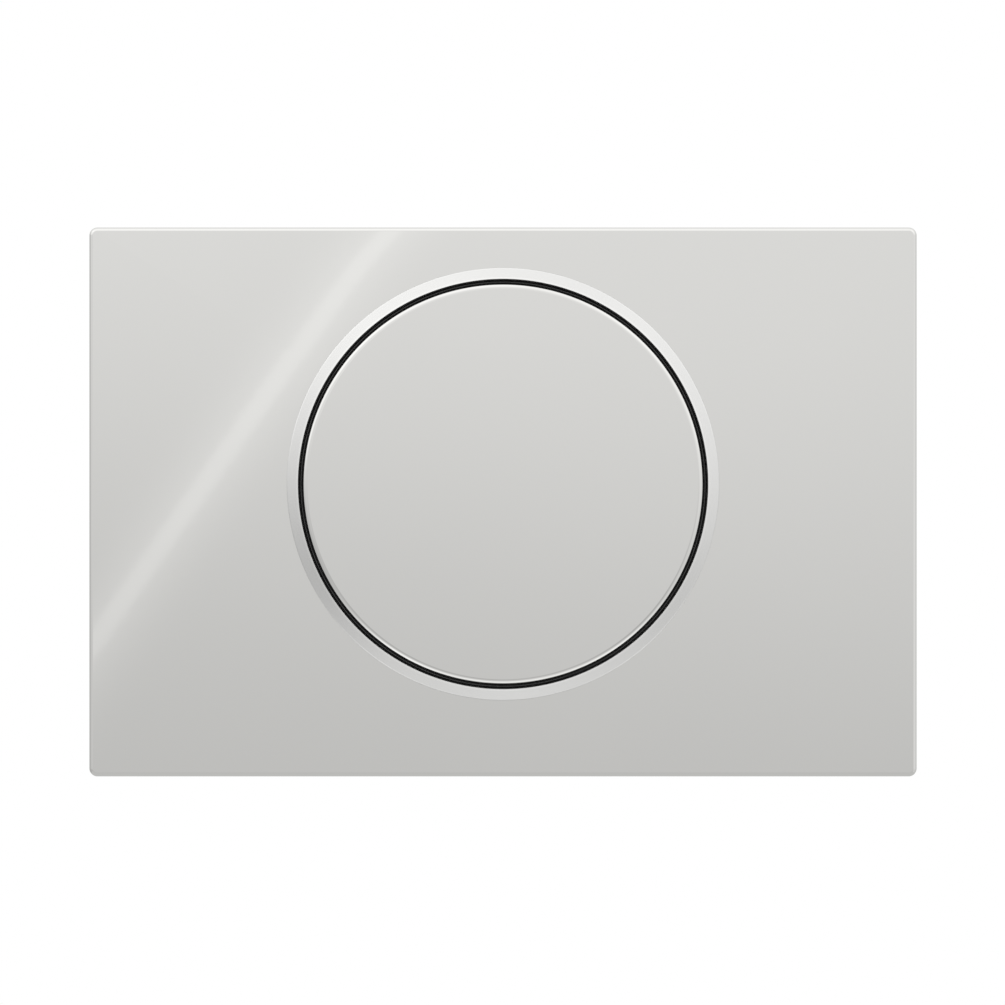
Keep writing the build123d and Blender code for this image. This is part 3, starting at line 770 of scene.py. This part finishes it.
def bar(name, low, high):
    """A straight bar between two corners, with soft edges."""
    deselect()
    bpy.ops.mesh.primitive_cube_add(size=1, location=(low + high) / 2)
    bpy.context.object.scale = high - low
    piece = named(name)
    edit(piece)
    bpy.ops.mesh.select_all(action="SELECT")
    bpy.ops.mesh.bevel(offset=BAR_SOFTNESS, segments=2)
    leave()
    return piece


ears = round_the_button(EAR_CIRCLE, (0, 40, 140, 180, 220, 320))
inside = posts("cover_posts", ears, POST_BACK_Y, PLATE_BACK_Y - SUNK)
for side in (-1, 1):
    rib_low = Vector((side * RIB_X - RIB_HALF, PLATE_BACK_Y - SUNK, -RIB_END_Z))
    rib_high = Vector((side * RIB_X + RIB_HALF, RIB_BACK_Y, RIB_END_Z))
    inside.append(bar("rib", rib_low, rib_high))
    for low_z in (LOWER_LEDGE_Z, UPPER_LEDGE_Z):
        ledge_low = Vector((side * LEDGE_X - LEDGE_HALF, LEDGE_FRONT_Y, low_z))
        ledge_high = Vector((side * LEDGE_X + LEDGE_HALF, LEDGE_BACK_Y, low_z + LEDGE_HEIGHT))
        inside.append(bar("ledge", ledge_low, ledge_high))
joined(cover, inside)
close(cover)
dress(cover, "mount", plating, "gloss_plastic", "cover_plate")

# %% [markdown]
# ## Mouldings with soft edges
#
# The frame, the housing and the rocker have the right shape in CAD, but their edges are perfectly
# sharp, and no moulding is. They could be built again from nothing. It is simpler to take a copy of
# the CAD mesh, merge its loose triangles, dissolve the flat ones into whole faces, and let a Bevel
# modifier ease every sharp edge by a fraction of a millimetre.

# %% Ease the edges of the three mouldings
FRAME_SOFTNESS, BLACK_SOFTNESS = 0.0003, 0.0002


def soften(piece, width):
    """Eases every sharp edge of a piece."""
    soft = piece.modifiers.new("soft", "BEVEL")
    soft.width = width
    soft.segments = 2
    soft.limit_method = "ANGLE"
    soft.angle_limit = radians(40)
    apply(piece, "soft")
    smooth(piece, 35)


def eased(node, name, width):
    """A copy of a CAD node with its triangles merged and its sharp edges eased."""
    deselect()
    source = frame["nodes"][node]
    source.select_set(True)
    bpy.context.view_layer.objects.active = source
    bpy.ops.object.duplicate()
    piece = bpy.context.object
    piece.name = name
    piece.data.name = name
    piece.parent = None
    del piece["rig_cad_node"]
    bpy.ops.mesh.customdata_custom_splitnormals_clear()
    edit(piece)
    bpy.ops.mesh.select_all(action="SELECT")
    bpy.ops.mesh.remove_doubles(threshold=0.000004)
    bpy.ops.mesh.dissolve_limited(angle_limit=radians(0.5))
    leave()
    soften(piece, width)
    return piece


wall_frame = eased("fixing_frame", "wall_frame", FRAME_SOFTNESS)
dress(wall_frame, "mount", grey_plastic, "frame_plastic", "fixing_frame")
rocker = eased("button_rocker", "rocker_web", BLACK_SOFTNESS)
dress(rocker, "button", black_plastic, "dark_plastic", "button_rocker")
housing = eased("button_housing", "hinge_housing", BLACK_SOFTNESS)
print("housing:", len(housing.data.polygons), "faces")

# %% [markdown]
# ## An apron behind the gap
#
# With the button pressed all the way, the lower edge of the rocker goes just behind the housing's
# wall, and from above one could look through the gap and out at the back. So the lower part of the
# wall goes on a little further. A whole turned ring would do it too, but the upper part has the hinge
# and needs none, so a small rectangle is spun along the lower arc only, and joined to the housing.

# %% Spin the apron
WALL_IN, WALL_OUT = 0.0632, 0.0647
APRON_FRONT_Y, APRON_BACK_Y = 0.0014, 0.0062
APRON_END, APRON_SWEEP = radians(26), radians(128)

wall_middle = (WALL_IN + WALL_OUT) / 2
end_x = wall_middle * cos(APRON_END)
end_y = (APRON_FRONT_Y + APRON_BACK_Y) / 2
end_z = button_z - wall_middle * sin(APRON_END)
deselect()
bpy.ops.mesh.primitive_plane_add(size=1, rotation=(0, APRON_END, 0), location=(end_x, end_y, end_z))
bpy.context.object.scale = (WALL_OUT - WALL_IN, APRON_BACK_Y - APRON_FRONT_Y, 1)
apron = named("apron")
edit(apron)
bpy.ops.mesh.select_all(action="SELECT")
bpy.ops.mesh.spin(steps=68, angle=APRON_SWEEP, center=(0, 0, button_z), axis=(0, -1, 0))
leave()
merge(apron)
soften(apron, BLACK_SOFTNESS)
print("apron:", len(apron.data.polygons), "faces")
joined(housing, [apron])
dress(housing, "mount", black_plastic, "dark_plastic", "button_housing")

# %% [markdown]
# ## Threads
#
# The studs that hold the frame and the rods that reach the cistern are threaded, so that they can be
# set to the depth of the wall. A thread is one small tooth carried round and along: the Screw modifier
# does just that. The tooth is a plane squeezed to a trapezium, its face removed, and the two ends of
# the finished ridge are filled. It is laid on a plain core that is a little thinner.

# %% A ridge that winds along an axis
TOOTH_FOOT, TOOTH_CREST = 0.84, 0.2
THREAD_STEPS = 28


def wound(loop, x, z, start_y, pitch, turns, steps):
    """Carries a closed loop of edges round an axis along Y, and fills the two ends."""
    screw = loop.modifiers.new("winding", "SCREW")
    screw.axis = "Y"
    screw.angle = -2 * pi
    screw.screw_offset = pitch
    screw.iterations = turns
    screw.steps = steps
    screw.render_steps = steps
    apply(loop, "winding")
    loop.location = (x, start_y, z)
    bpy.ops.object.transform_apply(location=True, rotation=False, scale=False)
    edit(loop)
    bpy.ops.mesh.select_mode(type="EDGE")
    bpy.ops.mesh.select_non_manifold()
    bpy.ops.mesh.edge_face_add()
    leave()
    return loop


def thread(name, x, z, start_y, end_y, crest, root, pitch):
    """A screw thread between two depths."""
    deselect()
    bpy.ops.mesh.primitive_plane_add(size=1, location=((root + crest) / 2, pitch / 2, 0))
    bpy.context.object.scale = (crest - root, TOOTH_FOOT * pitch, 1)
    tooth = named(name)
    edit(tooth)
    bpy.ops.mesh.select_all(action="SELECT")
    bpy.ops.mesh.delete(type="ONLY_FACE")
    pick_edges(tooth, lambda a, b: min(a.x, b.x) > crest - 1e-6)
    bpy.ops.transform.resize(value=(1, TOOTH_CREST, 1), center_override=(crest, pitch / 2, 0))
    leave()
    turns = int((end_y - start_y) / pitch) - 1
    return wound(tooth, x, z, start_y, pitch, turns, THREAD_STEPS)


print("threads ready")

# %% [markdown]
# ## Studs and push rods
#
# Each stud has a plain neck inside its knob, a threaded length behind the wall, and a chamfered end.
# Each push rod has a domed head for the rocker, a plain length that slides in its bush, and a thread
# for its adjuster. Left and right are alike, so each is made once and copied to the other side.

# %% Make a pair
def second_of(piece, name, shift_x):
    """The same piece on the other side, with a mesh of its own."""
    copy = piece.copy()
    copy.data = piece.data.copy()
    copy.name = name
    copy.data.name = name
    bpy.context.scene.collection.objects.link(copy)
    copy.location.x = shift_x
    deselect()
    copy.select_set(True)
    bpy.context.view_layer.objects.active = copy
    bpy.ops.object.transform_apply(location=True, rotation=False, scale=False)
    return copy


def middle_of(node):
    low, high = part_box(node)
    return (low + high) / 2


STUD_NECK, STUD_CREST, STUD_CORE, STUD_TIP = 0.0024, 0.0030, 0.00252, 0.0018
NECK_END_Y, COLLAR_END_Y, CORE_START_Y = 0.0042, 0.0062, 0.0068
STUD_CHAMFER, THREAD_STOP = 0.0008, 0.0006
STUD_THREAD_Y, STUD_PITCH, THREAD_ROOT = 0.0060, 0.001, 0.0024

stud_at = middle_of("fixing_stud_left")
stud_low, stud_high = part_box("fixing_stud_left")
profile = [
    (STUD_NECK, stud_low.y), (STUD_NECK, NECK_END_Y), (STUD_CREST, NECK_END_Y),
    (STUD_CREST, COLLAR_END_Y), (STUD_CORE, CORE_START_Y), (STUD_CORE, stud_high.y - STUD_CHAMFER),
    (STUD_TIP, stud_high.y),
]
stud = turned("stud_left", profile, stud_at.x, stud_at.z, 48, (True, True))
close(stud)
stud_thread = thread(
    "stud_thread", stud_at.x, stud_at.z, STUD_THREAD_Y, stud_high.y - THREAD_STOP,
    STUD_CREST, THREAD_ROOT, STUD_PITCH)
close(stud_thread)
joined(stud, [stud_thread])
other_stud = second_of(stud, "stud_right", -2 * stud_at.x)
dress(stud, "mount", zinc, "bright_steel", "fixing_stud_left")
dress(other_stud, "mount", zinc, "bright_steel", "fixing_stud_right")

# %% Push rods with domed heads
ROD, ROD_CORE, ROD_HEAD, DOME = 0.0030, 0.00258, 0.0060, 0.0140
HEAD_DEPTH, HEAD_CHAMFER, HEAD_SHOULDER = 0.0028, 0.0002, 0.0003
THREAD_Y, THREAD_TAPER, ROD_PITCH = 0.0274, 0.0006, 0.0015

rod_at = middle_of("push_rod_left")
rod_low, rod_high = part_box("push_rod_left")
head_back_y = rod_low.y + HEAD_DEPTH
dome = []
for share in (0.06, 0.3, 0.55, 0.8, 0.96):
    out = ROD_HEAD * share
    dome.append((out, rod_low.y + DOME - (DOME**2 - out**2)**0.5))
profile = dome + [
    (ROD_HEAD, dome[-1][1] + HEAD_SHOULDER), (ROD_HEAD, head_back_y - HEAD_CHAMFER),
    (ROD_HEAD - HEAD_CHAMFER, head_back_y), (ROD, head_back_y), (ROD, THREAD_Y),
    (ROD_CORE, THREAD_Y + THREAD_TAPER), (ROD_CORE, rod_high.y),
]
rod = turned("rod_left", profile, rod_at.x, rod_at.z, 64, (True, True))
close(rod)
rod_thread = thread("rod_thread", rod_at.x, rod_at.z, THREAD_Y, rod_high.y, ROD, THREAD_ROOT, ROD_PITCH)
close(rod_thread)
joined(rod, [rod_thread])
other_rod = second_of(rod, "rod_right", -2 * rod_at.x)
dress(rod, "left_rod", rod_plastic, "natural_plastic", "push_rod_left")
dress(other_rod, "right_rod", rod_plastic, "natural_plastic", "push_rod_right")

# %% [markdown]
# ## Return springs
#
# A coil spring sits between the head of each rod and its bush, and on the real plate it gets shorter
# when the button is pressed. Here each spring stays at its resting length on the mount; the share of
# its length that it would keep is worked out and printed. The ends of a real compression spring are
# wound close, so that they sit flat. The coil is therefore made of three windings of the same wire: a
# close turn, the open turns, and a close turn.

# %% Wind the springs
COIL, WIRE = 0.0046, 0.00045
END_PITCH = 0.00094
OPEN_TURNS = 4

spring_at = middle_of("return_spring_left")
spring_low, spring_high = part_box("return_spring_left")
first_y = spring_low.y + WIRE
last_y = spring_high.y - WIRE
open_pitch = (last_y - first_y - 2 * END_PITCH) / OPEN_TURNS


def coil(name, start_y, pitch, turns):
    """Some turns of round wire."""
    deselect()
    bpy.ops.mesh.primitive_circle_add(vertices=12, radius=WIRE, location=(COIL, 0, 0))
    return wound(named(name), spring_at.x, spring_at.z, start_y, pitch, turns, steps=48)


spring = coil("coil_left", first_y, END_PITCH, 1)
open_coil = coil("coil_open", first_y + END_PITCH, open_pitch, OPEN_TURNS)
end_coil = coil("coil_end", last_y - END_PITCH, END_PITCH, 1)
joined(spring, [open_coil, end_coil])
edit(spring)
bpy.ops.mesh.select_all(action="SELECT")
bpy.ops.mesh.remove_doubles(threshold=MERGE_DISTANCE)
bpy.ops.mesh.select_mode(type="FACE")
bpy.ops.mesh.select_all(action="DESELECT")
bpy.ops.mesh.select_interior_faces()
bpy.ops.mesh.delete(type="FACE")
leave()
close(spring, 60)
other_spring = second_of(spring, "coil_right", -2 * spring_at.x)
seat_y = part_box("guide_bush_left")[0].y
travel = next(j for j in frame["joints"] if j["name"] == "left_rod_slide")["range_m"][1]
kept = 1 - travel / (seat_y - head_back_y)
for piece, side in ((spring, "left"), (other_spring, "right")):
    dress(piece, "mount", wire, "spring_steel", "return_spring_" + side)
    side + "_rod_slide"
    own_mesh(piece)
print("springs keep", round(kept, 3), "of their length")

# %% [markdown]
# ## Finishes for the pieces that stay
#
# The small pieces, such as the screws, clips, bushes, knobs and buffers, keep their CAD shape. Each
# node carries a material slot from the record, so a table from slot to finish dresses them all.

# %% Dress the CAD nodes
FINISH_OF_SLOT = {
    "gloss_plastic": plating, "polished_chrome": satin, "dark_plastic": black_plastic,
    "frame_plastic": grey_plastic, "knob_plastic": knob_plastic, "natural_plastic": rod_plastic,
    "bright_steel": zinc, "spring_steel": wire, "rubber": rubber,
}
for part in frame["record"]["subparts"]:
    node = frame["nodes"][part["node"]]
    node.data.materials.clear()
    node.data.materials.append(FINISH_OF_SLOT[part["material_slot"]])

# %% [markdown]
# ## Floor
#
# The plate hangs on a wall, and the picture shows it alone on white. A pale floor well below it gives
# the other views something to stand over. It is a plain disc, small enough to stay out of the front
# view, and the plating doesn't mirror it.

# %% A pale floor below
FLOOR_Z, FLOOR_RADIUS = -0.25, 0.6

deselect()
bpy.ops.mesh.primitive_circle_add(
    vertices=96, radius=FLOOR_RADIUS, fill_type="NGON", location=(0, 0, FLOOR_Z))
floor = named("floor")
floor_finish, start = new_finish("pale_floor")
speckle = grain(start, places_on(start), 25, 3)
close_finish(start, {
    "Base Color": tinted(start, speckle, (0.93, 0.93, 0.925), (0.95, 0.95, 0.945)),
    "Roughness": 0.8,
})
floor.data.materials.append(floor_finish)
floor.visible_glossy = False
print("floor at", FLOOR_Z)

# %% [markdown]
# ## A grey card below the edge
#
# Photographers hold a card close to an edge that shines too much. The lower edge of the plate should
# stay as calm as its face, so a narrow grey card lies under it. Only mirrored rays see it: it is no
# part of the object, throws no shadow, and doesn't show in any view.

# %% The card
CARD_SIZE = (0.254, 0.0195, 1)
CARD_Y, CARD_DROP = -0.0072, 0.0026
CARD_GREY = (0.62, 0.62, 0.612, 1)

deselect()
bpy.ops.mesh.primitive_plane_add(size=1, location=(0, CARD_Y, plate_low.z - CARD_DROP))
bpy.context.object.scale = CARD_SIZE
card = named("grey_card")
card_finish, start = new_finish("grey_card")
glow = start.node("ShaderNodeEmission", {}, {"Color": CARD_GREY, "Strength": 1.0})
start.node("ShaderNodeOutputMaterial", {}, {"Surface": glow})
card.data.materials.append(card_finish)
card.visible_camera = False
card.visible_diffuse = False
card.visible_shadow = False
print("card below the lower edge")

# %% [markdown]
# ## Sizes and the end
#
# The dressed model has to keep the size of the CAD model. The CAD model's box is printed here.

# %% Print the CAD box
print("CAD box in mm", [round(1000 * v, 2) for v in (*cad_low, *cad_high)])
